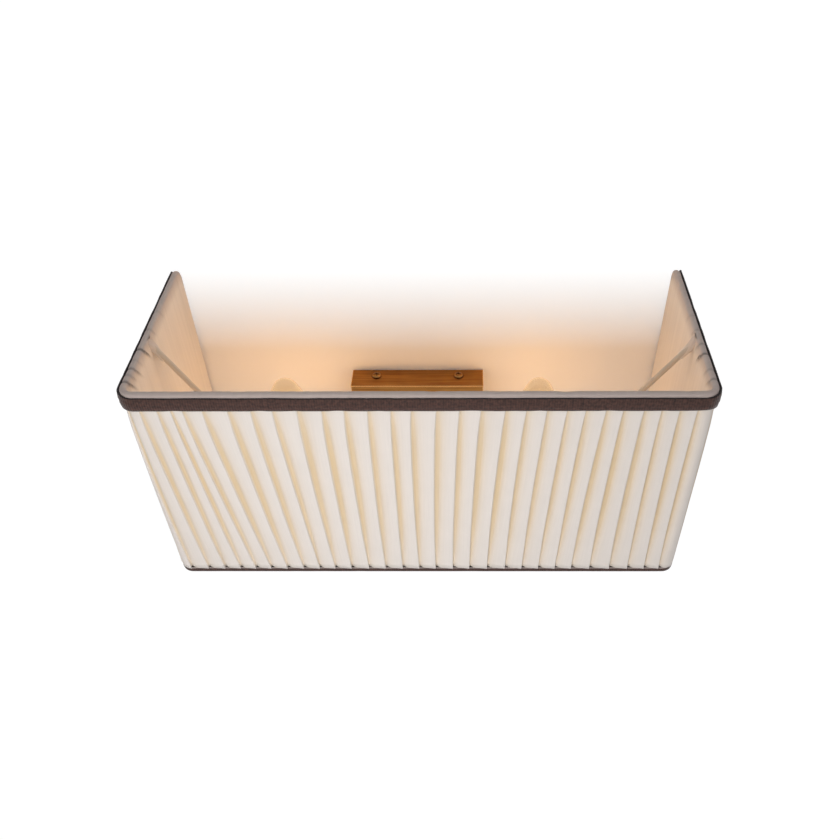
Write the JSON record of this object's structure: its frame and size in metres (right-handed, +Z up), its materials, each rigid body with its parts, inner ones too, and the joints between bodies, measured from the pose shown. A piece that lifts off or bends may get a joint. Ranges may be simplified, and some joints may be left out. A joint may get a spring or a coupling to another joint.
{
  "type": "fabric shade wall light",
  "caption": "Wall light: slim brass wall box with bent tube arms, candle lamps and a pleated half-box fabric shade, open at top, bottom and wall side",
  "frame": {"origin": "middle of the wall box, on the wall plane", "axes": "+Z up, +Y into the wall (the light stands in front of it, towards -Y), +X to the right of someone who looks at the wall"},
  "size_m": [0.4, 0.155, 0.19],
  "materials": {
    "zinc_steel": "bright zinc plated sheet, satin",
    "black_rubber": "matte moulded rubber",
    "terminal_plastic": "matte moulded polyamide",
    "plain_steel": "turned steel, satin",
    "aged_brass": "fine brushed, aged and lacquered",
    "lead_sleeve": "matte heat-proof sleeve",
    "holder_plastic": "matte moulded thermoplastic",
    "contact_brass": "plain stamped sheet",
    "frame_enamel": "white powder coated wire",
    "cap_nickel": "nickel plated, satin",
    "cap_insulator": "black vitrified insulator, glossy",
    "solder": "dull solder",
    "stem_glass": "clear drawn glass",
    "filament_coating": "translucent yellow coating",
    "bulb_glass": "clear blown glass, polished",
    "lining_cloth": "fine ivory lining cloth, matte",
    "cover_cloth": "ivory plain-weave cloth, knife pleated",
    "trim_ribbon": "dark brown ribbed ribbon, matte"
  },
  "bodies": {
    "light": {"wall_bracket": "zinc_steel", "cable_grommet": "black_rubber", "terminal_block": "terminal_plastic", "terminal_screws": "plain_steel", "earth_screw": "contact_brass", "box_cover": "aged_brass", "cover_screws": "aged_brass", "arm_collars": "aged_brass", "arm_lock_nuts": "contact_brass", "arm_tube_left": "aged_brass", "lamp_lead_left": "lead_sleeve", "lampholder_left": "holder_plastic", "holder_shell_left": "contact_brass", "holder_contact_left": "contact_brass", "fitter_ring_left": "frame_enamel", "carrier_arm_left": "frame_enamel", "arm_tube_right": "aged_brass", "lamp_lead_right": "lead_sleeve", "lampholder_right": "holder_plastic", "holder_shell_right": "contact_brass", "holder_contact_right": "contact_brass", "fitter_ring_right": "frame_enamel", "carrier_arm_right": "frame_enamel", "frame_upper_wire": "frame_enamel", "frame_lower_wire": "frame_enamel", "frame_corner_wires": "frame_enamel", "lining": "lining_cloth", "pleated_cover": "cover_cloth", "top_trim": "trim_ribbon", "bottom_trim": "trim_ribbon"},
    "lamp_left": {"lamp_cap_left": "cap_nickel", "lamp_insulator_left": "cap_insulator", "lamp_contact_left": "solder", "lamp_stem_left": "stem_glass", "lamp_filaments_left": "filament_coating", "lamp_glass_left": "bulb_glass"},
    "lamp_right": {"lamp_cap_right": "cap_nickel", "lamp_insulator_right": "cap_insulator", "lamp_contact_right": "solder", "lamp_stem_right": "stem_glass", "lamp_filaments_right": "filament_coating", "lamp_glass_right": "bulb_glass"},
    "ring_nut_left": {"ring_nut_left": "holder_plastic"},
    "ring_nut_right": {"ring_nut_right": "holder_plastic"}
  },
  "joints": [
    {"name": "lamp_left_unscrew", "type": "hinge", "parent": "light", "child": "lamp_left", "pos_m": [-0.098, -0.077, 0.006], "axis": [0, 0, 1], "range_deg": [0, 1620]},
    {"name": "ring_nut_left_unscrew", "type": "hinge", "parent": "light", "child": "ring_nut_left", "pos_m": [-0.098, -0.077, -0.0172], "axis": [0, 0, 1], "range_deg": [0, 1170]},
    {"name": "lamp_right_unscrew", "type": "hinge", "parent": "light", "child": "lamp_right", "pos_m": [0.098, -0.077, 0.006], "axis": [0, 0, 1], "range_deg": [0, 1620]},
    {"name": "ring_nut_right_unscrew", "type": "hinge", "parent": "light", "child": "ring_nut_right", "pos_m": [0.098, -0.077, -0.0172], "axis": [0, 0, 1], "range_deg": [0, 1170]}
  ]
}
